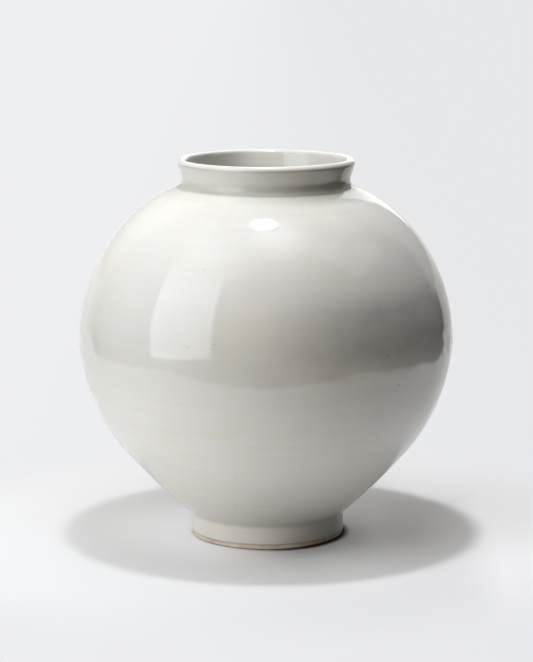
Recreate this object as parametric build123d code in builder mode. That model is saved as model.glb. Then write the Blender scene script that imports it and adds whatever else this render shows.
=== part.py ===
from build123d import *
import os
from typing import NamedTuple

# Korean moon jar: two thrown bowls joined at the belly, with a leaning collar and a turned foot ring,
# glazed inside and out. Everything is turned about Z, and the jar stands on Z = 0. Lengths are in
# millimetres, angles in degrees.

# The outline runs up the outside, from the foot to the lip, as arcs that meet smoothly, each with a radius
# and the angle that it turns. They are given on the glazed face. Each layer under it is a parallel line at
# its own depth.

# Foot
foot_radius = 91.6
foot_side_height = 24.5
foot_bend = 6.0
foot_edge = 2.4
foot_ring_width = 14.0
bare_foot_height = 6.2

# Lower bowl, from the foot up
flank_bend = 732.5
flank_angle = 8.5
bowl_bend = 221.0
bowl_angle = 33.7
belly_bend = 80.5
belly_angle = 6.5

# Band of joining slip
luting_height = 4.0

# Upper bowl, from the belly up
shoulder_bend = 201.5
shoulder_angle = 39.3
crown_bend = 171.5
crown_angle = 29.2

# Collar
neck_bend = 10.0
collar_lean_angle = 16.5
collar_side = 16.3

# Thickness of the fired clay and of the glaze on it
wall = 8.4
glaze = 0.8

# Base: the bend from the flank to the level base, and the bare edge in the hollow under it
floor_bend = 49.0
bare_well_height = 5.0

# What follows from these: the foot's side and the belly are upright, and the wall is equally thick all over
foot_angle = flank_angle + bowl_angle + belly_angle
right_angle = 90
half_thickness = wall / 2 + glaze
foot_clay_radius = foot_radius - glaze
well_radius = foot_clay_radius - foot_ring_width


class WallLine(NamedTuple):
    """The edges of one layer's outline, each drawn from the foot towards the lip."""

    foot: Edge
    flank: Edge
    bowl: Edge
    belly: Edge
    band: Edge
    shoulder: Edge
    crown: Edge
    neck: Edge
    collar: Edge
    lip: Edge


def wall_line(depth):
    """The outline at a depth under the glazed outer face, up to the crest of the lip."""
    to_crest = half_thickness - depth
    lip_angle = right_angle + collar_lean_angle if to_crest > 0 else collar_lean_angle - right_angle
    with BuildLine():
        foot = JernArc((foot_radius - depth, foot_side_height), (0, 1), foot_bend + depth, -foot_angle)
        flank = JernArc(foot @ 1, foot % 1, flank_bend - depth, flank_angle)
        bowl = JernArc(flank @ 1, flank % 1, bowl_bend - depth, bowl_angle)
        belly = JernArc(bowl @ 1, bowl % 1, belly_bend - depth, belly_angle)
        band = Line(belly @ 1, belly @ 1 + (0, luting_height))
        shoulder = JernArc(band @ 1, band % 1, shoulder_bend - depth, shoulder_angle)
        crown = JernArc(shoulder @ 1, shoulder % 1, crown_bend - depth, crown_angle)
        neck_angle = shoulder_angle + crown_angle + collar_lean_angle
        neck = JernArc(crown @ 1, crown % 1, neck_bend + depth, -neck_angle)
        collar = Line(neck @ 1, neck @ 1 + neck % 1 * collar_side)
        lip = JernArc(collar @ 1, collar % 1, abs(to_crest), lip_angle)
    return WallLine(foot, flank, bowl, belly, band, shoulder, crown, neck, collar, lip)


def floor_line(line, depth):
    """Draws a layer's outline across the base, from the flank's foot end to the axis, and gives its end."""
    bend = JernArc(line.flank @ 0, line.flank % 0 * -1, floor_bend - depth, foot_angle - right_angle)
    level = Line(bend @ 1, (0, (bend @ 1).Y))
    return level @ 1


def base_bend(line, depth, radius):
    """The bend under the base in two parts: from the flank in to a radius, and from there to level."""
    upright = Axis((radius, 0, 0), (0, 1, 0))
    outer = JernArc(line.flank @ 0, line.flank % 0 * -1, floor_bend - depth, upright, mode=Mode.PRIVATE)
    to_level = (outer % 1).get_angle(Vector(-1, 0, 0))
    inner = JernArc(outer @ 1, outer % 1, floor_bend - depth, -to_level, mode=Mode.PRIVATE)
    return outer, inner


# The four layers' faces: glaze outside, clay outside, clay inside, glaze inside
clay_depth = glaze
hollow_depth = glaze + wall
lining_depth = glaze + wall + glaze
skin = wall_line(0)
clay = wall_line(clay_depth)
hollow = wall_line(hollow_depth)
lining = wall_line(lining_depth)

jar_height = (skin.lip @ 1).Y


# Ring that the jar stands on; its top fits the rounded underside of the lower bowl
with BuildPart() as foot_ring:
    with BuildSketch(Plane.XZ):
        with BuildLine():
            add(clay.foot)
            side = Line(clay.foot @ 0, (foot_clay_radius, foot_edge))
            outer_edge = JernArc(side @ 1, side % 1, foot_edge, -right_angle)
            underside = Line(outer_edge @ 1, (well_radius + foot_edge, 0))
            inner_edge = JernArc(underside @ 1, underside % 1, foot_edge, -right_angle)
            seat, _ = base_bend(clay, clay_depth, well_radius)
            add(seat)
            Line(inner_edge @ 1, seat @ 1)
        make_face()
    revolve(axis=Axis.Z)
foot_ring.part.label = "foot_ring"

# Lower bowl, with its level base, from the axis out and up to the band of slip
with BuildPart() as lower_bowl:
    with BuildSketch(Plane.XZ):
        with BuildLine():
            add([clay.flank, clay.bowl, clay.belly, hollow.flank, hollow.bowl, hollow.belly])
            Line(clay.belly @ 1, hollow.belly @ 1)
            Line(floor_line(clay, clay_depth), floor_line(hollow, hollow_depth))
        make_face()
    revolve(axis=Axis.Z)
lower_bowl.part.label = "lower_bowl"

# Band of slip that joins the two rims, through the whole wall
with BuildPart() as luting_band:
    with BuildSketch(Plane.XZ):
        with BuildLine():
            add([clay.band, hollow.band])
            Line(clay.band @ 0, hollow.band @ 0)
            Line(clay.band @ 1, hollow.band @ 1)
        make_face()
    revolve(axis=Axis.Z)
luting_band.part.label = "luting_band"

# Upper bowl, from the band up to the hole for the collar
with BuildPart() as upper_bowl:
    with BuildSketch(Plane.XZ):
        with BuildLine():
            add([clay.shoulder, clay.crown, hollow.shoulder, hollow.crown])
            Line(clay.shoulder @ 0, hollow.shoulder @ 0)
            Line(clay.crown @ 1, hollow.crown @ 1)
        make_face()
    revolve(axis=Axis.Z)
upper_bowl.part.label = "upper_bowl"

# Collar: hollow neck bend, leaning side and fully rounded lip
with BuildPart() as mouth_collar:
    with BuildSketch(Plane.XZ):
        with BuildLine():
            add([clay.neck, clay.collar, clay.lip, hollow.neck, hollow.collar, hollow.lip])
            Line(clay.neck @ 0, hollow.neck @ 0)
        make_face()
    revolve(axis=Axis.Z)
mouth_collar.part.label = "mouth_collar"

# Glaze outside, from the crest of the lip down to the bare edge of the foot
with BuildPart() as outer_glaze:
    with BuildSketch(Plane.XZ):
        with BuildLine():
            add(list(skin) + list(clay))
            Line(skin.lip @ 1, clay.lip @ 1)
            skin_side = Line(skin.foot @ 0, (foot_radius, bare_foot_height))
            clay_side = Line(clay.foot @ 0, (foot_clay_radius, bare_foot_height))
            Line(skin_side @ 1, clay_side @ 1)
        make_face()
    revolve(axis=Axis.Z)
outer_glaze.part.label = "outer_glaze"

# Glaze inside, from the crest of the lip down over the floor
with BuildPart() as inner_glaze:
    with BuildSketch(Plane.XZ):
        with BuildLine():
            add(list(hollow)[1:] + list(lining)[1:])
            Line(hollow.lip @ 1, lining.lip @ 1)
            Line(floor_line(hollow, hollow_depth), floor_line(lining, lining_depth))
        make_face()
    revolve(axis=Axis.Z)
inner_glaze.part.label = "inner_glaze"

# Glaze in the hollow of the foot: over the base and down the ring's inner side
with BuildPart() as foot_well_glaze:
    with BuildSketch(Plane.XZ):
        with BuildLine():
            _, under_clay = base_bend(clay, clay_depth, well_radius)
            _, under_glaze = base_bend(skin, 0, well_radius - glaze)
            add([under_clay, under_glaze])
            clay_level = Line(under_clay @ 1, (0, (under_clay @ 1).Y))
            glaze_level = Line(under_glaze @ 1, (0, (under_glaze @ 1).Y))
            Line(clay_level @ 1, glaze_level @ 1)
            clay_side = Line(under_clay @ 0, (well_radius, bare_well_height))
            glaze_side = Line(under_glaze @ 0, (well_radius - glaze, bare_well_height))
            Line(clay_side @ 1, glaze_side @ 1)
        make_face()
    revolve(axis=Axis.Z)
foot_well_glaze.part.label = "foot_well_glaze"


clay_pieces = [foot_ring, lower_bowl, luting_band, upper_bowl, mouth_collar]
glaze_pieces = [outer_glaze, inner_glaze, foot_well_glaze]
os.makedirs("parts", exist_ok=True)
for piece in clay_pieces + glaze_pieces:
    export_step(piece.part, f"parts/{piece.part.label}.step")

print("height", round(jar_height, 2))
print("belly diameter", round(2 * (skin.belly @ 1).X, 2))
print("mouth diameter", round(2 * ((skin.lip @ 1).X + half_thickness), 2))
print("foot diameter", round(2 * foot_radius, 2))
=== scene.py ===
import math

import bpy
import numpy as np
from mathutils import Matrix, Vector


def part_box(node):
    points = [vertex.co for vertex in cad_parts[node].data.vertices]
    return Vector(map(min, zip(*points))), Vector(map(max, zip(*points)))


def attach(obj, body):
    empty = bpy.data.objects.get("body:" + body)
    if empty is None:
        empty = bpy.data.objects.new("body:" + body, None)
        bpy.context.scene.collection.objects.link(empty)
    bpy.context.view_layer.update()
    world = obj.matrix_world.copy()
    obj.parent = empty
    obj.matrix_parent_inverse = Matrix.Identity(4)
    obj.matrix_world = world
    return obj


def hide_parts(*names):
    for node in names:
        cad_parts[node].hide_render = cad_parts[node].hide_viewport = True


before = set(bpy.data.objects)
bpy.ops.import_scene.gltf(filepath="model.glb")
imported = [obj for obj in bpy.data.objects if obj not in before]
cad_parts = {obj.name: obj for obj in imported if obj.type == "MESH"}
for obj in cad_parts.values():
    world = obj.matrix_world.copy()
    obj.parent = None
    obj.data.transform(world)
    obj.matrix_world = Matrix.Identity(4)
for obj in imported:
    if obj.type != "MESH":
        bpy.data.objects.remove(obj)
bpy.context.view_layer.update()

bl_info = {
    "name": "Moon Jar",
    "version": (1, 0, 0),
    "blender": (4, 5, 0),
    "location": "3D View > Sidebar > Moon Jar",
    "description": "White-glazed moon jar of two joined bowls, on a pale studio table",
    "category": "Add Mesh",
}

BELLY_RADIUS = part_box("outer_glaze")[1].x
JAR_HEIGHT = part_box("outer_glaze")[1].z
GLAZE_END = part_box("outer_glaze")[0].z
WELL_GLAZE_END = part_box("foot_well_glaze")[0].z
WELL_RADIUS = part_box("foot_well_glaze")[1].x

QUARTER = math.radians(90)
# Points round the axis: outside, inside and in the foot, and in the hidden clay
FINE, MEDIUM, COARSE = 288, 192, 144
# Largest turn between two points on a glaze coat's hidden back
HIDDEN_STEP = math.radians(20)
# Edges that turn by more than this stay sharp
SHARP = math.radians(50)
# Points nearer than this are one
SAME_POINT = 1e-6


def number(name, default, description, **more):
    return bpy.props.FloatProperty(name=name, description=description, default=default, **more)


def length(*words):
    return number(*words, unit="LENGTH", subtype="DISTANCE", precision=4)


def angle(name, degrees, description):
    return number(name, math.radians(degrees), description, unit="ROTATION", subtype="ANGLE")


def share(*words):
    return number(*words, min=0.0, soft_max=1.0)


def colour(name, default, description):
    return bpy.props.FloatVectorProperty(
        name=name, description=description, default=default, min=0.0, max=1.0, subtype="COLOR"
    )


class JarShape(bpy.types.PropertyGroup):
    """Sizes of the jar's outline, from the foot to the lip, on the glazed face."""

    foot_radius: length("Foot radius", 0.0916, "Radius of the glazed foot")
    foot_side: length("Foot side height", 0.0245, "Height of the foot's upright side")
    foot_bend: length("Foot cove radius", 0.006, "Radius of the cove over the foot")
    foot_edge: length("Foot edge radius", 0.0024, "Rounding of the foot's bare edges")
    flank_bend: length("Flank radius", 0.7325, "Radius of the nearly straight flank")
    flank_turn: angle("Flank turn", 8.5, "Turn of the flank")
    bowl_bend: length("Bowl radius", 0.221, "Radius of the lower bowl")
    bowl_turn: angle("Bowl turn", 33.7, "Turn of the lower bowl")
    belly_bend: length("Belly radius", 0.0805, "Radius of the bend at the belly")
    belly_turn: angle("Belly turn", 6.5, "Turn of the bend at the belly")
    band: length("Joint band", 0.004, "Height of the slip between the bowls")
    shoulder_bend: length("Shoulder radius", 0.2015, "Radius of the shoulder")
    shoulder_turn: angle("Shoulder turn", 39.3, "Turn of the shoulder")
    crown_bend: length("Crown radius", 0.1715, "Radius of the crown under the collar")
    crown_turn: angle("Crown turn", 29.2, "Turn of the crown")
    neck_bend: length("Neck cove radius", 0.010, "Radius of the cove under the collar")
    collar_lean: angle("Collar lean", 16.5, "Lean of the collar away from the axis")
    collar_side: length("Collar side", 0.0163, "Length of the collar's straight side")
    wall: length("Wall", 0.0084, "Thickness of the fired clay")
    glaze: length("Glaze", 0.0008, "Thickness of the glaze")
    floor_bend: length("Floor bend", 0.049, "Radius of the bend from the flank to the base")
    pool_bend: length("Glaze pool radius", 0.0035, "Radius of the glaze in the foot's inner corner")


class HandWork(bpy.types.PropertyGroup):
    """What the hand and the kiln leave: small departures from a body of revolution."""

    joint_height: length("Joint height", 0.2345, "Height of the bowls' joint")
    belly_lean: length("Belly offset", -0.0015, "How far the belly stands to the side of the foot")
    rim_lean: length("Rim offset", -0.00105, "How far the rim stands to the side of the foot")
    oval: length("Out of round", 0.00022, "Height of the body's slow swellings")
    ripple: length("Ripples", 0.00005, "Height of the ripples that fingers leave")
    ripple_width: length("Ripple width", 0.055, "Distance from one ripple to the next")
    ring: length("Throwing rings outside", 0.000012, "Height of the rings outside")
    inner_ring: length("Throwing rings inside", 0.00022, "Height of the rings inside")
    ring_pitch: length("Ring pitch", 0.0145, "Rise of the rings in one turn of the wheel")
    joint_swell: length("Joint swelling", 0.00018, "Height of the swelling over the joint")
    joint_lump: length("Joint unevenness", 0.00022, "Height of the joint's lumps, at the right front")
    rim_dip: length("Rim dip", 0.0005, "How far the rim dips below level")
    glaze_line: length("Glaze line", 0.0006, "How far the glaze's lower edge wanders")


class Finish(bpy.types.PropertyGroup):
    """Colours of the glaze and of the clay."""

    glaze: colour("Glaze", (0.84, 0.825, 0.775), "Milky white of the glaze")
    glaze_cool: colour("Cool glaze", (0.79, 0.80, 0.775), "Blue-green where the glaze lies thicker")
    glaze_warm: colour("Warm glaze", (0.81, 0.77, 0.67), "Ivory where the glaze lies thinner")
    # Pooled glaze, and also painted shade inside the neck, in the cove on the right and on the foot's right
    pooled: colour("Pooled glaze", (0.50, 0.51, 0.445), "Grey-green where the glaze pools")
    # Painted shade: the grey on the right of the belly
    belly_shade: colour("Smoky glaze", (0.58, 0.575, 0.55), "Grey shading on the right of the belly")
    # Painted shade: the darkest grey-green, in the cove on the right and inside the neck on the left
    deep: colour("Deep glaze", (0.19, 0.195, 0.165), "Darkest grey-green, in the neck on the left")
    # The brown also paints shade in the line under the lip
    thin_edge: colour("Thin edge", (0.42, 0.33, 0.24), "Brown where the glaze thins out")
    speck: colour("Speck", (0.25, 0.19, 0.13), "Iron specks under the glaze")
    gloss_roughness: share("Glaze roughness", 0.055, "Roughness of the glaze's surface")
    bare_clay: colour("Bare clay", (0.84, 0.75, 0.62), "Unglazed edge of the foot")
    burnt_clay: colour("Burnt clay", (0.55, 0.42, 0.29), "Flashing on the bare clay beside the glaze")
    # Painted shade: the dark underside of the foot
    shaded_underside: colour("Sooty clay", (0.10, 0.07, 0.05), "Dark underside of the foot")
    body_clay: colour("Body clay", (0.72, 0.69, 0.63), "Porcelain body under the glaze")


class Studio(bpy.types.PropertyGroup):
    """Table, lamps and camera."""

    table: colour("Table", (0.90, 0.90, 0.90), "White table top")
    near_left: colour("Backdrop left", (0.86, 0.865, 0.88), "Backdrop on the left")
    near_right: colour("Backdrop right", (0.80, 0.805, 0.82), "Backdrop on the right")
    table_left: length("Table left edge", -1.2, "Left edge of the mirrored table")
    table_right: length("Table right edge", 0.95, "Right edge of the mirrored table")
    table_front: length("Table front edge", -0.625, "Front edge of the mirrored table")
    bounce_reach: length("Bounce reach", 0.52, "How far round the jar light is thrown back")
    shadow_lift: share("Shadow lift", 0.30, "How much paler the jar's shadow is")
    contact_shade: share("Contact shade", 0.6, "How much less light is thrown back near the foot")
    # Painted shadow: the thin line on the table under the foot's right
    contact_line: share("Contact line", 0.92, "How dark the thin line under the foot's right is")
    front_shade: share("Front shade", 0.28, "How dark the patch in front of the foot is")
    lamp_across: length("Lamp across", -0.05, "How far right of the axis the lamp hangs")
    lamp_along: length("Lamp along", -0.06, "How far behind the axis the lamp hangs")
    lamp_height: length("Lamp height", 2.23, "Height of the lamp over the table")
    lamp_size: length("Lamp size", 0.20, "Diameter of the lamp")
    lamp_glow: number("Lamp glow", 182.0, "Brightness of the lamp's face, where 1 is white paper")
    halo_along: length("Halo along", 0.03, "How far behind the axis the mirrored lamp is")
    halo_size: length("Halo size", 0.44, "Width of the bright disc that the glaze mirrors")
    halo_glow: number("Halo glow", 80.0, "Brightness of the disc's middle")
    window_glow: number("Window glow", 3.0, "Brightness of the panel at the left front")
    panel_glow: number("Panel glow", 1.0, "Brightness of the other panels")
    camera_across: length("Camera across", -0.00066, "How far right of the axis the camera is")
    camera_distance: length("Camera distance", 2.8192, "How far in front of the axis the camera is")
    camera_height: length("Camera height", 0.7447, "Height of the camera over the table")
    camera_pitch: angle("Camera pitch", 10.076, "How far the camera looks down")
    camera_lens: number("Camera lens", 131.2, "Focal length in millimetres on a 36 mm picture")


def outward(headings):
    """The direction to the right of each heading, which is out of the clay on every outline here."""
    return np.stack([np.sin(headings), -np.cos(headings)], -1)


def carried_line(start, heading, runs, depth=0.0, spacing=0.0028, bend_step=math.radians(9)):
    """Points of one smooth line in the plane of the radius and the height.

    The line is a row of runs that meet without a corner, each a straight (length, 0) or an arc (radius,
    turn). On an arc the point is centre + radius * (sin h, -cos h), where h is the heading. A depth moves
    the line to its left, into the clay, so an arc that turns left loses the depth from its radius and one
    that turns right gains it. Gives the points, their headings and how far along the undeepened line each
    lies.
    """
    start = np.array(start, float) - depth * outward(heading)
    points, headings, travel, gone = [start[None]], [[heading]], [[0.0]], 0.0
    for size, turn in runs:
        run = abs(size * turn) if turn else size
        steps = max(1, math.ceil(max(run / spacing, abs(turn) / bend_step)))
        t = np.arange(1, steps + 1) / steps
        if turn:
            side = math.copysign(1.0, turn)
            h = heading + turn * t
            path = start + side * (size - side * depth) * (outward(h) - outward(heading))
        else:
            h = np.full(steps, heading)
            path = start + size * t[:, None] * np.array([math.cos(heading), math.sin(heading)])
        points.append(path)
        headings.append(h)
        travel.append(gone + run * t)
        start, heading, gone = path[-1], heading + turn, gone + run
    return np.concatenate(points), np.concatenate(headings), np.concatenate(travel)


def line_end(start, heading, runs):
    """Last point and heading of a row of runs."""
    points, headings, _ = carried_line(start, heading, runs)
    return points[-1], headings[-1]


def backwards(line):
    """A line walked the other way, so that its other side is the outward one."""
    return line[0][::-1], line[1][::-1] + 2 * QUARTER


def joined(*lines):
    """Several (points, headings) lines as one, without the points that two of them share."""
    points, headings = (np.concatenate([line[k] for line in lines]) for k in (0, 1))
    keep = np.r_[True, np.linalg.norm(np.diff(points, axis=0), axis=1) > SAME_POINT]
    if np.linalg.norm(points[0] - points[keep][-1]) < SAME_POINT:
        keep[np.flatnonzero(keep)[-1]] = False
    return points[keep], headings[keep]


def flank_foot(s):
    """Where the glazed flank leaves the foot's cove: the cove's end, and the flank's heading there."""
    heading = QUARTER - (s.flank_turn + s.bowl_turn + s.belly_turn)
    radius = s.foot_radius + s.foot_bend * (1 - math.sin(heading))
    return np.array([radius, s.foot_side + s.foot_bend * math.cos(heading)]), heading


def outer_runs(s):
    """Runs of the outer face, from the flank's foot end to where the collar starts."""
    return [
        (s.flank_bend, s.flank_turn),
        (s.bowl_bend, s.bowl_turn),
        (s.belly_bend, s.belly_turn),
        (s.band, 0),
        (s.shoulder_bend, s.shoulder_turn),
        (s.crown_bend, s.crown_turn),
    ]


def collar_runs(s):
    """Runs of the collar, from the cove outside over the rounded lip to the bend inside."""
    turn = s.shoulder_turn + s.crown_turn + s.collar_lean
    full = s.wall + 2 * s.glaze
    return [
        (s.neck_bend, -turn),
        (s.collar_side, 0),
        (full / 2, 2 * QUARTER),
        (s.collar_side, 0),
        (s.neck_bend + full, turn),
    ]


def inner_runs(s):
    """Runs of the inner face, from the throat down to where the level floor starts."""
    full = s.wall + 2 * s.glaze
    runs = [(size - full, -turn) if turn else (size, 0) for size, turn in reversed(outer_runs(s))]
    to_level = QUARTER - s.flank_turn - s.bowl_turn - s.belly_turn
    return runs + [(s.floor_bend - full, -to_level)]


def smooth_step(low, high, value):
    """0 below low, 1 above high, and 3t^2 - 2t^3 between them."""
    t = np.clip((value - low) / (high - low), 0, 1)
    return t * t * (3 - 2 * t)


def all_round(count):
    """Angles of a row of points round the axis."""
    return np.arange(count)[None] * (math.tau / count)


# Heights over which the body's swellings, and the rim's dip, grow to full
BODY_RISE, RIM_RISE = (0.02, 0.13), (0.40, 0.45)
# Half the width of the swelling over the joint
JOINT_REACH = 0.0075


def thrown_by_hand(h, r, around, z):
    """The hand's small departures, the same through the whole wall: radius, angle and height to x, y, z.

    The radius grows by a slow oval, by three ripples that cross each other and by a swelling over the
    joint, a bell curve in height, with lumps that are highest at the right front. All of them die out at the
    foot. The axis bends aside along a parabola through the foot, the joint and the rim. The rim dips.
    """
    body = smooth_step(*BODY_RISE, z)
    oval = h.oval * (np.cos(2 * around + 0.7 + 3 * z) + 0.6 * np.cos(3 * around - 1.1 + 9 * z))
    k = math.tau / h.ripple_width
    some, few, many = np.round(np.array([0.62, 0.41, 0.87]) * BELLY_RADIUS * k)
    ripple = h.ripple * (
        np.sin(some * around + 0.8 * k * z)
        + np.sin(few * around - 0.66 * k * z + 1.9)
        + 0.8 * np.sin(many * around + 0.35 * k * z + 4.1 + np.sin(2 * around))
    )
    lumps = np.sin(37 * around + 2 * np.sin(7 * around))
    lumps = lumps + 0.8 * np.sin(59 * around + 1 + 3 * np.sin(4 * around))
    lumps = h.joint_lump * lumps * (0.25 + 0.75 * np.clip(np.cos(around + 0.75), 0, 1) ** 3)
    swell = h.joint_swell * (0.65 + 0.35 * np.sin(5 * around + 0.6))
    above = z - h.joint_height - 0.0012 * np.sin(3 * around)
    joint = (swell + lumps) * np.exp(-((above / JOINT_REACH) ** 2))
    r = r + body * (oval + ripple + joint) * np.clip(r / 0.05, 0, 1)
    rise = np.array([[h.joint_height, h.joint_height**2], [JAR_HEIGHT, JAR_HEIGHT**2]])
    first, second = np.linalg.solve(rise, [h.belly_lean, h.rim_lean])
    lean = first * z + second * z * z
    dip = h.rim_dip * smooth_step(*RIM_RISE, z) * (0.5 + 0.5 * np.sin(2 * around + 0.4))
    return np.stack([r * np.cos(around) + lean, r * np.sin(around), z - dip], -1)


def placed(name, data):
    """A new object of the scene."""
    piece = bpy.data.objects.new(name, data)
    bpy.context.scene.collection.objects.link(piece)
    return piece


def surface_piece(name, verts, quads, fans):
    """An object of smooth four-cornered faces, and of three-cornered ones at its poles."""
    mesh = bpy.data.meshes.new(name)
    mesh.vertices.add(len(verts))
    mesh.vertices.foreach_set("co", verts.ravel())
    sides = np.concatenate([np.full(len(quads), 4), np.full(len(fans), 3)])
    corners = np.concatenate([quads.ravel(), fans.ravel()])
    mesh.loops.add(len(corners))
    mesh.loops.foreach_set("vertex_index", corners)
    mesh.polygons.add(len(sides))
    mesh.polygons.foreach_set("loop_start", np.cumsum(sides) - sides)
    mesh.polygons.foreach_set("use_smooth", np.ones(len(sides), bool))
    mesh.update(calc_edges=True)
    mesh.validate()
    mesh.set_sharp_from_angle(angle=SHARP)
    return placed(name, mesh)


def turned(name, line, count, shift=0.0, lift=0.0, closed=True):
    """A body turned about the axis from a closed line, or from one that starts and ends on the axis.

    Point (i, j) of the grid is the line's point j, moved by shift(j, i) along its outward side and up by
    lift(j, i), carried to angle i, and then through thrown_by_hand. A line that ends on the axis is closed
    there by a fan of triangles.
    """
    points, headings = line
    out = outward(headings)
    shift = np.broadcast_to(shift, (len(points), count))
    r = points[:, :1] + out[:, :1] * shift
    z = points[:, 1:] + out[:, 1:] * shift + lift
    grid = thrown_by_hand(bpy.context.scene.jar_hand, r, all_round(count), z)
    i, rows = np.arange(count), len(points)
    beside = (i + 1) % count
    verts, fans = grid.reshape(-1, 3), np.zeros((0, 3), int)
    if not closed:
        rows -= 2
        verts = np.concatenate([grid[1:-1].reshape(-1, 3), grid[[0, -1]].mean(1)])
        top, pole = (rows - 1) * count, np.full(count, rows * count)
        fans = np.r_[np.stack([pole, beside, i], -1), np.stack([top + i, top + beside, pole + 1], -1)]
    j = np.arange(rows if closed else rows - 1)[:, None]
    here, after = j * count, (j + 1) % rows * count
    quads = np.stack([here + i, here + beside, after + beside, after + i], -1).reshape(-1, 4)
    return surface_piece(name, verts, quads, fans)


class Nodes:
    """The nodes of one material or world, made one by one from left to right."""

    def __init__(self, holder):
        self.holder = holder
        holder.use_nodes = True
        self.tree = holder.node_tree
        self.tree.nodes.clear()

    def feed(self, socket, value):
        """Gives a socket its value, or links it to the socket that feeds it. A colour is three numbers."""
        if isinstance(value, bpy.types.NodeSocket):
            self.tree.links.new(value, socket)
        else:
            socket.default_value = (*value, 1.0) if socket.type == "RGBA" else value

    def add(self, kind, inputs=(), **settings):
        """A new node. inputs maps a socket's name or number to a value, or to the socket that feeds it."""
        node = self.tree.nodes.new(kind)
        for name, value in settings.items():
            setattr(node, name, value)
        for name, value in dict(inputs).items():
            self.feed(node.inputs[name], value)
        return node.outputs[0] if node.outputs else node

    def rays(self):
        """The kinds of ray, 1 for a mirrored or refracted ray, and 1 for such a ray or a camera ray."""
        ray = self.add("ShaderNodeLightPath").node.outputs
        mirrored = self.math("ADD", ray["Is Glossy Ray"], ray["Is Transmission Ray"], clamp=True)
        return ray, mirrored, self.math("ADD", ray["Is Camera Ray"], mirrored, clamp=True)

    def math(self, operation, a, b=0.0, clamp=False):
        return self.add("ShaderNodeMath", {0: a, 1: b}, operation=operation, use_clamp=clamp)

    def times(self, a, b, plus=0.0):
        """The product of two values, plus a third."""
        return self.add("ShaderNodeMath", {0: a, 1: b, 2: plus}, operation="MULTIPLY_ADD")

    def larger(self, a, b):
        return self.math("MAXIMUM", a, b)

    def distance(self, start, end=(0.0, 0.0, 0.0)):
        node = self.add("ShaderNodeVectorMath", {0: start, 1: end}, operation="DISTANCE").node
        return node.outputs["Value"]

    def scaled(self, tint, factor):
        return self.add("ShaderNodeVectorMath", {0: tint, "Scale": factor}, operation="SCALE")

    def between(self, value, low, high):
        """0 to 1 as the value goes from low to high."""
        inputs = {"Value": value, "From Min": low, "From Max": high}
        return self.add("ShaderNodeMapRange", inputs, interpolation_type="SMOOTHSTEP")

    def below(self, value, low, high):
        """1 to 0 as the value goes from low to high."""
        return self.math("SUBTRACT", 1.0, self.between(value, low, high))

    def near(self, value, middle, full, none):
        """1 within full of a middle value, falling to 0 at none from it."""
        return self.below(self.math("ABSOLUTE", self.math("SUBTRACT", value, middle)), full, none)

    def blend(self, factor, first, second):
        """A colour between two others."""
        node = self.add("ShaderNodeMix", {"Factor": factor}, data_type="RGBA").node
        for name, value in (("A_Color", first), ("B_Color", second)):
            self.feed(next(k for k in node.inputs if k.identifier == name), value)
        return next(k for k in node.outputs if k.identifier == "Result_Color")

    def noise(self, scale, detail=2.0, stretch=(1, 1, 1), roughness=0.5):
        """A noise value about 0.5, on a pattern that is squeezed by stretch along each axis."""
        place = self.add("ShaderNodeMapping", {"Vector": self.place, "Scale": stretch})
        inputs = {"Vector": place, "Scale": scale, "Detail": detail, "Roughness": roughness}
        return self.add("ShaderNodeTexNoise", inputs)

    def relief(self, depth, height, under=None):
        """A surface's normal with a relief on it, on top of another where one is given."""
        inputs = {"Strength": 1.0, "Distance": depth, "Height": height}
        if under is not None:
            inputs["Normal"] = under
        return self.add("ShaderNodeBump", inputs)

    def surface(self, shader):
        self.add("ShaderNodeOutputMaterial", {"Surface": shader})
        return self.holder

    def glowing(self, tint, strength=1.0):
        """Makes the surface give out light only."""
        return self.surface(self.add("ShaderNodeEmission", {"Color": tint, "Strength": strength}))


def material_nodes(name, coordinates="Object"):
    """The nodes of a new material, with the jar's colours, the point's coordinates and their parts."""
    n = Nodes(bpy.data.materials.new(name))
    n.finish = bpy.context.scene.jar_finish
    n.place = n.add("ShaderNodeTexCoord").node.outputs[coordinates]
    n.across, n.along, n.height = n.add("ShaderNodeSeparateXYZ", {0: n.place}).node.outputs
    return n


# Iron specks that the photograph shows: degrees round the jar from the right, height and size
SPECKS = (
    (-52, 0.246, 0.0022),
    (-47, 0.211, 0.0018),
    (-76, 0.338, 0.001),
    (-99, 0.25, 0.001),
    (-102, 0.106, 0.0012),
    (-105, 0.266, 0.001),
    (-105, 0.411, 0.0011),
    (-106, 0.062, 0.0013),
    (-111, 0.344, 0.0009),
    (-113, 0.261, 0.0011),
    (-130, 0.259, 0.0011),
    (-171, 0.377, 0.0009),
)
# Bands round the outside: the middle's height, and how far from it they start to fade and end
BELLY_BAND = (0.260, 0.022, 0.065)
LOW_BAND = (0.045, 0.035, 0.065)
# Painted shade on the right of the belly
BELLY_SHADE_BAND = (0.276, 0.018, 0.050)
JOINT_BAND = (0.230, 0.006, 0.020)
LIP_LINE = (JAR_HEIGHT - 0.0062, 0.0002, 0.0016)
# The warm part of the belly, from left to right in the same way
WARM_SPAN = (0.015, 0.055, 0.12)
# Spans from left to right over which something comes in: the joint's unevenness, and painted shade on the
# right in the others
# Painted shade on the right of the belly
BELLY_SHADE_SPAN = (-0.01, 0.12)
JOINT_SPAN = (0.0, 0.15)
FOOT_SHADE_SPAN = (-0.01, 0.09)
COVE_SHADE_SPAN = (-0.07, 0.05)
COVE_DEEP_SHADE_SPAN = (0.01, 0.08)
LIP_SHADE_SPAN = (-0.05, 0.06)
# Spans over which painted shade dies out: from left to right in the neck, and upwards on the foot
NECK_SHADE_SPAN = (-0.06, -0.008)
FOOT_SHADE_TOP = (0.026, 0.040)
# Depth of the relief: throwing lines, uneven skin and pinholes
LINE_DEPTH, SKIN_DEPTH, PIT_DEPTH = 0.00003, 0.00007, 0.00012


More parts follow.
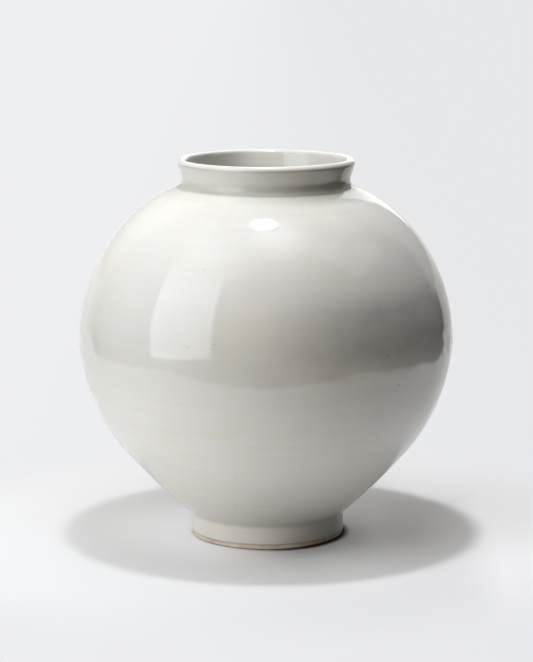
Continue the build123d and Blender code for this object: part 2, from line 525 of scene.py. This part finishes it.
def on_the_glaze(around, height):
    """The glazed face's point at an angle round the jar and a height between the foot and the collar."""
    s, h = bpy.context.scene.jar_shape, bpy.context.scene.jar_hand
    points, _, _ = carried_line(*flank_foot(s), outer_runs(s))
    return thrown_by_hand(h, np.interp(height, points[:, 1], points[:, 0]), around, height)


def patchy_tint(n, outside, cool):
    """The glaze's warm patches and its cool ones, which are as strong as cool says.

    Outside, the belly and the low body are warmer, and painted shade greys the right of the belly.
    """
    f = n.finish
    blotch = n.between(n.noise(26.0, 3.0, stretch=(1, 1, 2.2)), 0.42, 0.62)
    patch = n.between(n.noise(7.0, 3.0, stretch=(1, 1, 1.8)), 0.38, 0.66)
    thick = n.between(n.noise(4.5, 2.0, stretch=(1.2, 1, 1.4)), 0.42, 0.7)
    warm = n.times(blotch, 0.22, n.times(patch, 0.3))
    thick = n.times(n.math("SUBTRACT", 1.0, blotch), 0.18, n.times(thick, cool))
    if outside:
        belly = n.times(n.near(n.height, *BELLY_BAND), n.near(n.across, *WARM_SPAN))
        bands = n.larger(belly, n.times(n.near(n.height, *LOW_BAND), 0.8))
        warm = n.larger(warm, n.times(bands, n.times(patch, 0.3, 0.7)))
    base = n.blend(thick, n.blend(warm, f.glaze, f.glaze_warm), f.glaze_cool)
    # Painted shade greys the right of the belly
    if outside:
        belly_shade_mask = n.times(n.near(n.height, *BELLY_SHADE_BAND), n.between(n.across, *BELLY_SHADE_SPAN))
        base = n.blend(n.times(belly_shade_mask, n.times(blotch, 0.2, 0.7)), base, f.belly_shade)
    return base


def pooled_and_shaded_inside(n, base):
    """Darkens the glaze inside towards the neck: pooled glaze and painted shade, most of all on the left."""
    # Painted shade: darkest on the left
    left = n.times(n.below(n.across, *NECK_SHADE_SPAN), 0.95, 0.72)
    return n.blend(n.times(n.between(n.height, 0.30, JAR_HEIGHT), left), base, n.finish.pooled)


def pooled_and_shaded_outside(n, base, radius):
    """Darkens the glaze: pooled glaze and painted shade in the cove under the collar, more on the right, and
    painted shade on the foot's right and inside the neck, most on the left.
    """
    f, collar = n.finish, bpy.context.scene.jar_shape.collar_side
    cove = n.near(n.height, JAR_HEIGHT - collar - 0.015, 0.001, 0.015)
    # Pooled glaze in the cove, with painted shade that makes it stronger on the right
    pool = n.times(cove, n.times(n.between(n.across, *COVE_SHADE_SPAN), 0.7, 0.25))
    # Painted shade on the foot's right
    foot = n.times(n.below(n.height, *FOOT_SHADE_TOP), n.between(n.across, *FOOT_SHADE_SPAN))
    base = n.blend(n.larger(pool, foot), base, f.pooled)
    # Painted shade, deepest in the cove on the right
    base = n.blend(n.times(n.times(cove, n.between(n.across, *COVE_DEEP_SHADE_SPAN)), 0.3), base, f.deep)
    # Painted shade inside the neck, most on the left
    neck = n.times(n.below(radius, 0.0950, 0.0975), n.between(n.height, 0.40, 0.41))
    neck = n.times(neck, n.times(n.below(n.across, *NECK_SHADE_SPAN), 0.55, 0.05))
    return n.blend(neck, base, f.deep)


def thin_edges_and_lip_shade(n, radius):
    """How brown the glaze is: at its lower edge, and in a fainter line under the lip of thin glaze and
    painted shade, stronger on the right.
    """
    wander = n.noise(25.0, 3.0)
    # The line under the lip: thin glaze and painted shade
    lip = n.near(n.times(wander, -0.0012, n.height), *LIP_LINE)
    lip = n.times(lip, n.between(radius, 0.098, 0.100))
    # Painted shade: stronger on the right
    lip = n.times(lip, n.times(n.between(n.across, *LIP_SHADE_SPAN), 0.25, 0.2))
    rise = n.times(wander, 0.001, n.math("SUBTRACT", n.height, GLAZE_END))
    return n.larger(lip, n.times(n.below(rise, 0.0006, 0.0022), 0.6))


def glaze_material(name, cool=0.35, outside=False, inside=False):
    """Clear glaze over white clay: slow warm and cool patches, fine throwing lines, specks and pinholes.

    In the jar and outside it is darker where it pools and where shade is painted on it. Outside it is uneven
    at the joint, holds the larger specks, is greyed by painted shade on the right of the belly, turns brown
    where it thins out and has a brown line of thin glaze and painted shade under the lip.
    """
    n = material_nodes(name)
    f = n.finish
    base = patchy_tint(n, outside, cool)
    if inside:
        base = pooled_and_shaded_inside(n, base)
    if outside:
        radius = n.distance(n.add("ShaderNodeCombineXYZ", {0: n.across, 1: n.along}))
        base = pooled_and_shaded_outside(n, base, radius)
    lines = n.noise(3.0, 4.0, stretch=(1, 1, 70), roughness=0.65)
    mottle = n.noise(110.0, 3.0, stretch=(1, 1, 2.5), roughness=0.6)
    base = n.scaled(base, n.times(lines, 0.06, n.times(mottle, 0.05, 0.945)))

    # A few cells of a fine cell pattern hold a speck, and a few others a pinhole
    cells = n.add("ShaderNodeTexVoronoi", {"Vector": n.place, "Scale": 280.0}, feature="F1").node.outputs
    chosen = n.add("ShaderNodeSeparateColor", {0: cells["Color"]}).node.outputs
    size = n.times(chosen["Green"], 0.10, 0.12)
    dot = n.below(cells["Distance"], n.times(size, 0.4), size)
    speck = n.times(dot, n.math("LESS_THAN", chosen["Red"], 0.0025))
    pit = n.times(n.below(cells["Distance"], 0.06, 0.16), n.math("GREATER_THAN", chosen["Red"], 0.994))
    if outside:
        for degrees, level, reach in SPECKS:
            spot = tuple(on_the_glaze(math.radians(degrees), level))
            speck = n.larger(speck, n.below(n.distance(n.place, spot), 0.3 * reach, reach))
    base = n.blend(n.times(speck, 0.5), base, f.speck)
    if outside:
        base = n.blend(thin_edges_and_lip_shade(n, radius), base, f.thin_edge)

    skin = n.noise(85.0, 2.0, stretch=(1, 1, 1.6))
    uneven = n.times(skin, n.times(n.between(n.across, -0.02, 0.15), 0.8, 0.35))
    if outside:
        joint = n.times(n.near(n.height, *JOINT_BAND), n.between(n.across, *JOINT_SPAN))
        uneven = n.times(n.times(joint, 22.0, 0.4), n.noise(42.0, 1.0), uneven)
    normal = n.relief(SKIN_DEPTH, uneven, n.relief(LINE_DEPTH, lines))
    normal = n.relief(PIT_DEPTH, n.math("SUBTRACT", 1.0, pit), normal)
    rough = n.times(n.noise(14.0, 3.0), 0.03, f.gloss_roughness - 0.015)
    inputs = {"Base Color": base, "Roughness": rough, "IOR": 1.5, "Normal": normal}
    return n.surface(n.add("ShaderNodeBsdfPrincipled", inputs))


def bare_clay_material():
    """Dry fired clay of the foot's edge, with fine grain and turning lines.

    It is burnt in stains and beside the glaze, and painted shade darkens its underside, higher up on the
    right.
    """
    n = material_nodes("bare_clay")
    f = n.finish
    grain = n.noise(900.0, 4.0, roughness=0.7)
    stain = n.noise(40.0, 3.0)
    turning = n.noise(30.0, 2.0, stretch=(1, 1, 50))
    flash = n.between(n.times(stain, 0.003, n.height), GLAZE_END - 0.0006, GLAZE_END + 0.0016)
    base = n.blend(n.times(n.between(stain, 0.4, 0.7), 0.5), f.bare_clay, f.burnt_clay)
    base = n.blend(n.times(flash, 0.6), base, f.burnt_clay)
    # Painted shade on the underside, reaching higher on the right
    rise = n.times(n.between(n.across, 0.0, 0.09), -0.0015, n.height)
    base = n.blend(n.times(n.below(rise, 0.0003, 0.0014), 0.8), base, f.shaded_underside)
    base = n.scaled(base, n.times(grain, 0.24, 0.88))
    normal = n.relief(0.00008, grain, n.relief(0.00012, turning))
    inputs = {"Base Color": base, "Roughness": 0.78, "IOR": 1.45, "Normal": normal}
    return n.surface(n.add("ShaderNodeBsdfPrincipled", inputs))


def body_clay_material():
    """Porcelain body under the glaze: off-white, matt, with faint throwing lines."""
    n = material_nodes("body_clay")
    lines = n.noise(3.0, 4.0, stretch=(1, 1, 60))
    grain = n.noise(600.0, 3.0)
    tone = n.times(n.math("ADD", lines, grain), 0.08, 0.92)
    base = n.scaled(n.finish.body_clay, tone)
    inputs = {"Base Color": base, "Roughness": 0.6, "Normal": n.relief(0.0001, lines)}
    return n.surface(n.add("ShaderNodeBsdfPrincipled", inputs))


def finished(piece, node, material):
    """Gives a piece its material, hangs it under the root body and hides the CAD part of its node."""
    piece.data.materials.append(material)
    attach(piece, "root")
    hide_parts(node)


class JARWORK_OT_glaze_outside(bpy.types.Operator):
    """Glaze over the outside, over the lip and down to the throat"""

    bl_idname = "jarwork.glaze_outside"
    bl_label = "Glaze Outside"

    def execute(self, context):
        s, h = context.scene.jar_shape, context.scene.jar_hand
        runs = [
            (s.glaze, QUARTER),
            (s.foot_side - GLAZE_END - s.glaze, 0),
            (s.foot_bend, -(s.flank_turn + s.bowl_turn + s.belly_turn)),
            *outer_runs(s),
            *collar_runs(s),
        ]
        start = (s.foot_radius - s.glaze, GLAZE_END)
        front = carried_line(start, 0.0, runs)
        back = carried_line(start, 0.0, runs, s.glaze, spacing=0.016, bend_step=HIDDEN_STEP)
        points, headings = joined(front, backwards(back))
        travel = np.zeros((len(points), 1))
        travel[: len(front[2]), 0] = front[2]
        around = all_round(FINE)
        rings = h.ring * np.sin(math.tau * travel / h.ring_pitch + around + 2 * np.sin(around))
        shift = np.where(travel > 0, rings * smooth_step(0.03, 0.08, travel), 0.0)
        wander = 0.5 * np.sin(3 * around + 0.5) + 0.3 * np.sin(7 * around + 2) + 0.2 * np.sin(17 * around)
        lift = h.glaze_line * wander * (1 - smooth_step(GLAZE_END, s.foot_side, points[:, 1:]))
        piece = turned("glaze_outside", (points, headings), FINE, shift, lift)
        finished(piece, "outer_glaze", glaze_material("glaze_outside", outside=True))
        return {"FINISHED"}


class JARWORK_OT_glaze_inside(bpy.types.Operator):
    """Glaze over the inside, from the throat down over the floor"""

    bl_idname = "jarwork.glaze_inside"
    bl_label = "Glaze Inside"

    def execute(self, context):
        s, h = context.scene.jar_shape, context.scene.jar_hand
        throat, heading = line_end(*flank_foot(s), outer_runs(s) + collar_runs(s))
        runs = inner_runs(s)
        floor, _ = line_end(throat, heading, runs)
        runs.append((floor[0], 0))
        front = carried_line(throat, heading, runs, spacing=0.004)
        back = backwards(carried_line(throat, heading, runs, s.glaze, spacing=0.02, bend_step=HIDDEN_STEP))
        points, headings = joined(back, front)
        travel = np.concatenate([np.zeros(len(back[0])), front[2]])[:, None]
        rings = h.inner_ring * np.sin(math.tau * travel / h.ring_pitch - all_round(MEDIUM))
        fade = smooth_step(0.0, 0.05, travel) * smooth_step(0.0, 0.06, points[:, :1])
        joint = 2.2 * h.joint_swell * np.exp(-(((points[:, 1:] - h.joint_height) / 0.006) ** 2))
        shift = np.where(travel > 0, rings * fade + joint, 0.0)
        piece = turned("glaze_inside", (points, headings), MEDIUM, shift, closed=False)
        finished(piece, "inner_glaze", glaze_material("glaze_inside", cool=0.3, inside=True))
        return {"FINISHED"}


class JARWORK_OT_glaze_in_foot(bpy.types.Operator):
    """Glaze in the hollow of the foot, pooled in its corner"""

    bl_idname = "jarwork.glaze_in_foot"
    bl_label = "Glaze in Foot"

    def execute(self, context):
        s = context.scene.jar_shape
        start, heading = flank_foot(s)
        bend = s.floor_bend
        middle = start + bend * (outward(0.0) - outward(heading))
        turn = math.asin((WELL_RADIUS - s.glaze - s.pool_bend - middle[0]) / (bend + s.pool_bend))
        top = middle[1] + (bend + s.pool_bend) * (1 - math.cos(turn)) - s.pool_bend
        runs = [
            (middle[0], 0),
            (bend, turn),
            (s.pool_bend, -(turn + QUARTER)),
            (top - WELL_GLAZE_END - s.glaze, 0),
            (s.glaze, QUARTER),
        ]
        front = carried_line((0, middle[1]), 0.0, runs)
        back = backwards(carried_line((0, middle[1]), 0.0, runs[:-1], s.glaze, spacing=0.01))
        piece = turned("glaze_in_foot", joined(front, back), MEDIUM, closed=False)
        finished(piece, "foot_well_glaze", glaze_material("glaze_in_foot", cool=0.6))
        return {"FINISHED"}


class JARWORK_OT_clay_body(bpy.types.Operator):
    """The two bowls, the slip between them and the collar, under the glaze"""

    bl_idname = "jarwork.clay_body"
    bl_label = "Clay Body"

    def execute(self, context):
        s = context.scene.jar_shape
        foot = flank_foot(s)
        outer, collar, inner = outer_runs(s), collar_runs(s), inner_runs(s)
        neck = line_end(*foot, outer)
        throat = line_end(*neck, collar)

        def face(start, runs, first=0, last=None):
            """The clay's face along some runs of a glazed line with this start: a point and a heading."""
            start = line_end(*start, runs[:first])
            return carried_line(*start, runs[first:last], s.glaze, spacing=0.008)

        start, heading = foot
        under = start + s.floor_bend * (outward(0.0) - outward(heading))
        base = face(((0, under[1]), 0.0), [(under[0], 0), (s.floor_bend, heading)])
        floor, level = line_end(*throat, inner)
        floor_middle = np.array([[0.0, (floor - s.glaze * outward(level))[1]]]), np.array([level])
        lower = joined(base, face(foot, outer, 0, 3), face(throat, inner, 3, 7), floor_middle)
        lines = {
            ("slip_band", "luting_band"): joined(face(foot, outer, 3, 4), face(throat, inner, 2, 3)),
            ("bowl_upper", "upper_bowl"): joined(face(foot, outer, 4, 6), face(throat, inner, 0, 2)),
            ("collar", "mouth_collar"): joined(face(neck, collar)),
        }
        material = body_clay_material()
        finished(turned("bowl_lower", lower, COARSE, closed=False), "lower_bowl", material)
        for (name, node), line in lines.items():
            finished(turned(name, line, COARSE), node, material)
        return {"FINISHED"}


class JARWORK_OT_foot_ring(bpy.types.Operator):
    """Turned ring that the jar stands on, bare at its lower edge"""

    bl_idname = "jarwork.foot_ring"
    bl_label = "Foot Ring"

    def execute(self, context):
        s = context.scene.jar_shape
        start, heading = flank_foot(s)
        edge, outer, inner = s.foot_edge, s.foot_radius - s.glaze, WELL_RADIUS
        bend = s.floor_bend - s.glaze
        middle = start[0] - s.floor_bend * math.sin(heading)
        reach = math.asin((inner - middle) / bend)
        seat_inner = start - s.glaze * outward(heading) + bend * (outward(reach) - outward(heading))
        runs = [
            (seat_inner[1] - edge, 0),
            (edge, QUARTER),
            (outer - inner - 2 * edge, 0),
            (edge, QUARTER),
            (s.foot_side - edge, 0),
            (s.foot_bend + s.glaze, heading - QUARTER),
        ]
        side = carried_line(seat_inner, 3 * QUARTER, runs, spacing=0.0011)
        seat = backwards(carried_line(seat_inner, reach, [(bend, heading - reach)], spacing=0.004))
        points, headings = joined(side, seat)
        around = all_round(FINE)
        low = 1 - smooth_step(0.004, 0.012, points[:, 1:])
        turning = np.sin(23 * around + 400 * points[:, :1]) + np.sin(41 * around + 2)
        turning = turning + np.sin(67 * around + 1)
        nick = np.clip(np.sin(9 * around + 1) * np.sin(14 * around) - 0.86, 0, 1) * 6
        shift = -low * (0.00002 * (3 + turning) + 0.0005 * nick)
        piece = turned("foot_ring_bare", (points, headings), FINE, shift)
        finished(piece, "foot_ring", bare_clay_material())
        return {"FINISHED"}


# Low and high corner of the dark room round the table, which the camera sees through
ROOM_LOW, ROOM_HIGH = (-2.2, -2.2, 0.0), (2.0, 1.7, 2.6)
WHITE = (1.0, 1.0, 1.0)
# Glowing panels against its walls: two opposite corners, tint and glow, where 1 is white
PANELS = {
    "left_strip": ((-2.19, -2.2, 0.5), (-2.19, -0.8, 1.3), (1.0, 0.97, 0.86), 14.0),
    "left_low": ((-2.19, -2.2, 0.0), (-2.19, -0.8, 0.5), WHITE, 4.0),
    "left_side": ((-2.19, -0.8, 0.0), (-2.19, 1.7, 1.3), WHITE, 0.25),
    "front_warm": ((-1.0, -2.19, 0.0), (0.1, -2.19, 1.6), (1.0, 0.68, 0.30), 0.40),
    "backdrop_left": ((-2.2, 1.69, 0.0), (-0.2, 1.69, 2.6), (1.0, 0.98, 0.90), 0.6),
    "backdrop_left_low": ((-1.6, 1.68, 0.0), (-0.2, 1.68, 0.46), WHITE, 0.92),
    "backdrop_low": ((-0.2, 1.69, 0.0), (0.7, 1.69, 0.5), (1.0, 0.98, 0.93), 0.85),
    "backdrop_middle": ((-0.2, 1.69, 0.5), (0.7, 1.69, 2.6), (1.0, 0.98, 0.98), 1.6),
    "backdrop_right": ((0.7, 1.69, 0.46), (2.0, 1.69, 2.6), (1.0, 0.98, 0.94), 0.42),
    "backdrop_right_low": ((0.7, 1.69, 0.0), (1.62, 1.69, 0.46), WHITE, 0.80),
    "right_high": ((1.99, -0.8, 1.8), (1.99, 0.6, 2.6), (1.0, 0.98, 0.97), 0.9),
}
# Pools of light on the ceiling: x and y of the middle, reach, tint and glow in the middle
POOLS = (
    (-1.5, -1.1, 1.6, (1.0, 0.98, 0.95), 2.05),
    (0.2, -0.3, 1.0, (0.94, 0.96, 1.0), 2.5),
    (0.3, -0.9, 1.1, (0.98, 1.0, 1.0), 1.65),
    (1.5, -0.6, 0.9, (1.0, 0.98, 0.97), 1.4),
    (1.2, 0.8, 1.2, (1.0, 0.95, 0.92), 0.8),
)
# Corners of the large panel at the left front: low left, low right, high right, high left
WINDOW = (
    (-1.134, -0.485, 0.190),
    (-0.530, -0.905, 0.190),
    (-0.375, -0.677, 1.180),
    (-0.980, -0.262, 1.180),
)
LAMP_TINT = (0.93, 0.95, 1.0)
WINDOW_TINT = (0.93, 0.96, 1.0)
WALL_TINT = (0.02, 0.016, 0.012)
# How far the table reaches each way
FAR = 30.0
# The table's white, against its colour: as it is seen, and as it throws light on the jar
TABLE_SEEN, TABLE_BOUNCE = 0.91, 1.06
# Middles of what is darker round the foot, and of the light that the table throws back
DARKER_MIDDLE, BOUNCE_MIDDLE = (0.03, 0.0, 0.0), (-0.01, -0.09, 0.0)
# Distances from the axis over which the plain table starts, as seen and as mirrored
PLAIN_START, MIRROR_START = (0.28, 0.50), (0.26, 0.36)
# Span across the foot, from where its right side starts to where it is full
RIGHT_SIDE = (-0.06, 0.05)


def sheet(name, corners, material, shown=False):
    """A flat four-cornered sheet of the studio, with its corners in its UV map."""
    mesh = bpy.data.meshes.new(name)
    mesh.from_pydata(corners, [], [(0, 1, 2, 3)])
    mesh.update()
    mesh.uv_layers.new(name="UVMap").data.foreach_set("uv", [0, 0, 1, 0, 1, 1, 0, 1])
    mesh.materials.append(material)
    piece = placed(name, mesh)
    piece.visible_camera = shown
    return piece


def level_corners(x0, y0, x1, y1, z):
    """Corners of a level rectangle, from its low corner round to the left."""
    return [(x0, y0, z), (x1, y0, z), (x1, y1, z), (x0, y1, z)]


def panel(name, low, high, tint, glow):
    """A glowing panel between two opposite corners that share one coordinate. The camera doesn't see it."""
    flat = next(axis for axis in range(3) if low[axis] == high[axis])
    a, b = (axis for axis in range(3) if axis != flat)
    corners = [list(low) for _ in range(4)]
    corners[1][a] = corners[2][a] = high[a]
    corners[2][b] = corners[3][b] = high[b]
    sheet(name, corners, Nodes(bpy.data.materials.new(name)).glowing(tint, glow))


def dark_room(gain):
    """Four walls and a ceiling that shut out the pale world, with pools of light on the ceiling.

    A pool's glow is its full value in its middle and falls to nothing at its reach as 3t^2 - 2t^3.
    """
    dull = Nodes(bpy.data.materials.new("dark_wall")).glowing(WALL_TINT)
    (x0, y0, z0), (x1, y1, z1) = ROOM_LOW, ROOM_HIGH
    corners = {"left": (x0, y0), "back": (x0, y1), "right": (x1, y1), "front": (x1, y0)}
    starts = list(corners.values())
    for name, (ax, ay), (bx, by) in zip(corners, starts, starts[1:] + starts[:1]):
        sheet(f"{name}_wall", [(ax, ay, z0), (bx, by, z0), (bx, by, z1), (ax, ay, z1)], dull)
    n = material_nodes("ceiling")
    total = (0.0, 0.0, 0.0)
    for x, y, reach, tint, glow in POOLS:
        near = n.below(n.distance(n.place, (x, y, z1)), 0.0, reach)
        light = n.scaled([glow * gain * part for part in tint], near)
        total = n.add("ShaderNodeVectorMath", {0: total, 1: light}, operation="ADD")
    sheet("ceiling", level_corners(x0, y0, x1, y1, z1), n.glowing(total))


def window_material(glow):
    """The panel at the left front: even to half its height, then a little brighter, and dim at its top."""
    n = material_nodes("window", "UV")
    level = n.times(n.between(n.along, 0.495, 0.515), 0.12, 1.0)
    level = n.times(n.between(n.along, 0.50, 1.0), -0.72, level)
    return n.glowing(WINDOW_TINT, n.times(level, glow))


def halo_material(glow):
    """The lamp as the glaze mirrors it: bright in the middle and fading out to its round edge."""
    n = material_nodes("halo", "UV")
    return n.glowing(LAMP_TINT, n.times(n.below(n.distance(n.place, (0.5, 0.5, 0.0)), 0.12, 0.5), glow))


def lit_table(n, c, ray, seen, away, touch):
    """The table as the lamps light it.

    It throws back less light near the foot and none from far away. Painted shadow darkens a thin line at the
    foot and a soft patch in front of the foot. Painted light makes it paler on the right and at the right
    back.
    """
    lost = n.times(n.below(n.distance(n.place, DARKER_MIDDLE), 0.06, 0.32), c.contact_shade)
    off = n.distance(n.place, BOUNCE_MIDDLE)
    lost = n.larger(lost, n.between(off, 0.72 * c.bounce_reach, c.bounce_reach))
    lost = n.times(lost, ray["Is Diffuse Ray"])
    # Painted shadow: the thin dark line at the foot's right
    lost = n.larger(lost, n.times(touch, c.contact_line))
    # Painted shadow: a soft patch in front of the foot
    shade = n.times(n.between(n.across, *RIGHT_SIDE), n.below(n.along, -0.07, -0.01))
    lost = n.larger(lost, n.times(n.times(shade, n.below(away, 0.090, 0.150)), c.front_shade))
    white = [[level * part for part in c.table] for level in (TABLE_SEEN, TABLE_BOUNCE)]
    white = n.blend(lost, n.blend(ray["Is Diffuse Ray"], *white), (0.0, 0.0, 0.0))
    # Painted light: paler on the right and at the right back
    paler = n.times(n.between(n.across, 0.10, 0.18), n.between(n.along, 0.10, 0.22))
    paler = n.times(n.larger(paler, n.between(n.across, 0.21, 0.28)), seen)
    return n.add("ShaderNodeBsdfDiffuse", {"Color": n.scaled(white, n.times(paler, 0.16, 1.0))})


def plain_table(n, c, ray, mirrored):
    """The table as it runs into the pale backdrop.

    The glaze mirrors it only inside its edges, which part further back. The mirrored table is darker behind
    the jar and brighter at the right.
    """
    wider = n.times(n.between(n.along, 0.5, 1.7), 0.67)
    inside = n.math("GREATER_THAN", n.across, n.math("SUBTRACT", c.table_left, wider))
    inside = n.times(inside, n.math("LESS_THAN", n.across, n.math("ADD", wider, c.table_right)))
    inside = n.times(inside, n.math("GREATER_THAN", n.along, c.table_front))
    behind = n.times(n.near(n.across, 0.0, 0.12, 0.32), 0.33, 0.17)
    behind = n.times(behind, n.between(n.along, -0.1, 0.3))
    level = n.times(n.between(n.across, 0.3, 0.8), 0.10, n.math("SUBTRACT", 1.2, behind))
    level = n.times(mirrored, n.times(level, inside), ray["Is Camera Ray"])
    tint = n.blend(n.between(n.across, -0.5, 0.5), c.near_left, c.near_right)
    return n.add("ShaderNodeEmission", {"Color": tint, "Strength": level})


def table_material():
    """White table: lit, with the jar's shadow, near the jar, and plain further out.

    Some of the plain table is blended into the shadow, which makes it paler on the left, most of all close
    to the foot, and in a strip at the foot's right edge.
    """
    c = bpy.context.scene.jar_studio
    n = material_nodes("table")
    ray, mirrored, seen = n.rays()
    away = n.distance(n.place)
    # Painted shadow: the thin line at the foot's right
    touch = n.times(n.below(away, 0.091, 0.103), n.between(n.across, *RIGHT_SIDE))
    lift = n.times(n.below(n.across, -0.22, 0.12), 0.98)
    lift = n.times(n.near(n.across, 0.105, 0.020, 0.075), 0.33, lift)
    lift = n.times(n.times(n.below(away, 0.10, 0.21), n.below(n.across, -0.09, 0.05)), 1.1, lift)
    lift = n.times(n.times(lift, c.shadow_lift), n.between(away, 0.088, 0.093))
    lift = n.times(lift, n.math("SUBTRACT", 1.0, touch))
    plain = n.times(n.larger(n.between(away, *PLAIN_START), lift), seen)
    plain = n.larger(plain, n.times(n.between(away, *MIRROR_START), mirrored))
    near_jar, further = lit_table(n, c, ray, seen, away, touch), plain_table(n, c, ray, mirrored)
    return n.surface(n.add("ShaderNodeMixShader", {0: plain, 1: near_jar, 2: further}))


def pale_world(tint):
    """Pale backdrop for the camera, for gloss and through glass, and no light on the jar."""
    n = Nodes(bpy.data.worlds.new("world"))
    _, _, seen = n.rays()
    sky = n.add("ShaderNodeBackground", {"Color": tint, "Strength": seen})
    n.add("ShaderNodeOutputWorld", {"Surface": sky})
    return n.holder


class JARWORK_OT_studio(bpy.types.Operator):
    """Pale table, soft panels and a lamp in a dark room, and the camera"""

    bl_idname = "jarwork.studio"
    bl_label = "Studio"

    def execute(self, context):
        scene, c = context.scene, context.scene.jar_studio
        sheet("table_top", level_corners(-FAR, -FAR, FAR, FAR, 0), table_material(), shown=True)
        for name, (low, high, tint, glow) in PANELS.items():
            panel(name, low, high, tint, glow * c.panel_glow)
        sheet("window", WINDOW, window_material(c.window_glow))
        dark_room(c.panel_glow)
        data = bpy.data.lights.new("overhead", "AREA")
        data.shape, data.size, data.color = "DISK", c.lamp_size, LAMP_TINT
        area = math.pi * c.lamp_size**2 / 4
        data.energy = c.lamp_glow * math.pi * area
        lamp = placed("overhead", data)
        lamp.location = (c.lamp_across, c.lamp_along, c.lamp_height)
        lamp.visible_camera = lamp.visible_glossy = False
        x, y, half = c.lamp_across, c.halo_along, c.halo_size / 2
        corners = level_corners(x - half, y - half, x + half, y + half, c.lamp_height + 0.01)
        sheet("halo", corners, halo_material(c.halo_glow)).visible_diffuse = False
        scene.world = pale_world(c.near_left)
        scene.view_settings.view_transform = "Standard"
        eye = bpy.data.cameras.new("camera")
        eye.sensor_width, eye.lens = 36.0, c.camera_lens
        scene.camera = placed("camera", eye)
        scene.camera.location = (c.camera_across, -c.camera_distance, c.camera_height)
        scene.camera.rotation_euler = (QUARTER - c.camera_pitch, 0, 0)
        return {"FINISHED"}


class JARWORK_PT_sidebar(bpy.types.Panel):
    bl_idname = "JARWORK_PT_sidebar"
    bl_label = "Moon Jar"
    bl_space_type = "VIEW_3D"
    bl_region_type = "UI"
    bl_category = "Moon Jar"

    def draw(self, context):
        for group, name in GROUPS.items():
            box = self.layout.box()
            for setting in group.__annotations__:
                box.prop(getattr(context.scene, name), setting)
        for operator in OPERATORS:
            self.layout.operator(operator.bl_idname)


GROUPS = {JarShape: "jar_shape", HandWork: "jar_hand", Finish: "jar_finish", Studio: "jar_studio"}
OPERATORS = (
    JARWORK_OT_clay_body,
    JARWORK_OT_foot_ring,
    JARWORK_OT_glaze_outside,
    JARWORK_OT_glaze_inside,
    JARWORK_OT_glaze_in_foot,
    JARWORK_OT_studio,
)
CLASSES = (*GROUPS, *OPERATORS, JARWORK_PT_sidebar)


def register():
    for cls in CLASSES:
        bpy.utils.register_class(cls)
    for group, name in GROUPS.items():
        setattr(bpy.types.Scene, name, bpy.props.PointerProperty(type=group))


def unregister():
    for name in GROUPS.values():
        delattr(bpy.types.Scene, name)
    for cls in reversed(CLASSES):
        bpy.utils.unregister_class(cls)


def main():
    register()
    bpy.ops.jarwork.clay_body()
    bpy.ops.jarwork.foot_ring()
    bpy.ops.jarwork.glaze_outside()
    bpy.ops.jarwork.glaze_inside()
    bpy.ops.jarwork.glaze_in_foot()
    bpy.ops.jarwork.studio()


if __name__ == "__main__":
    main()
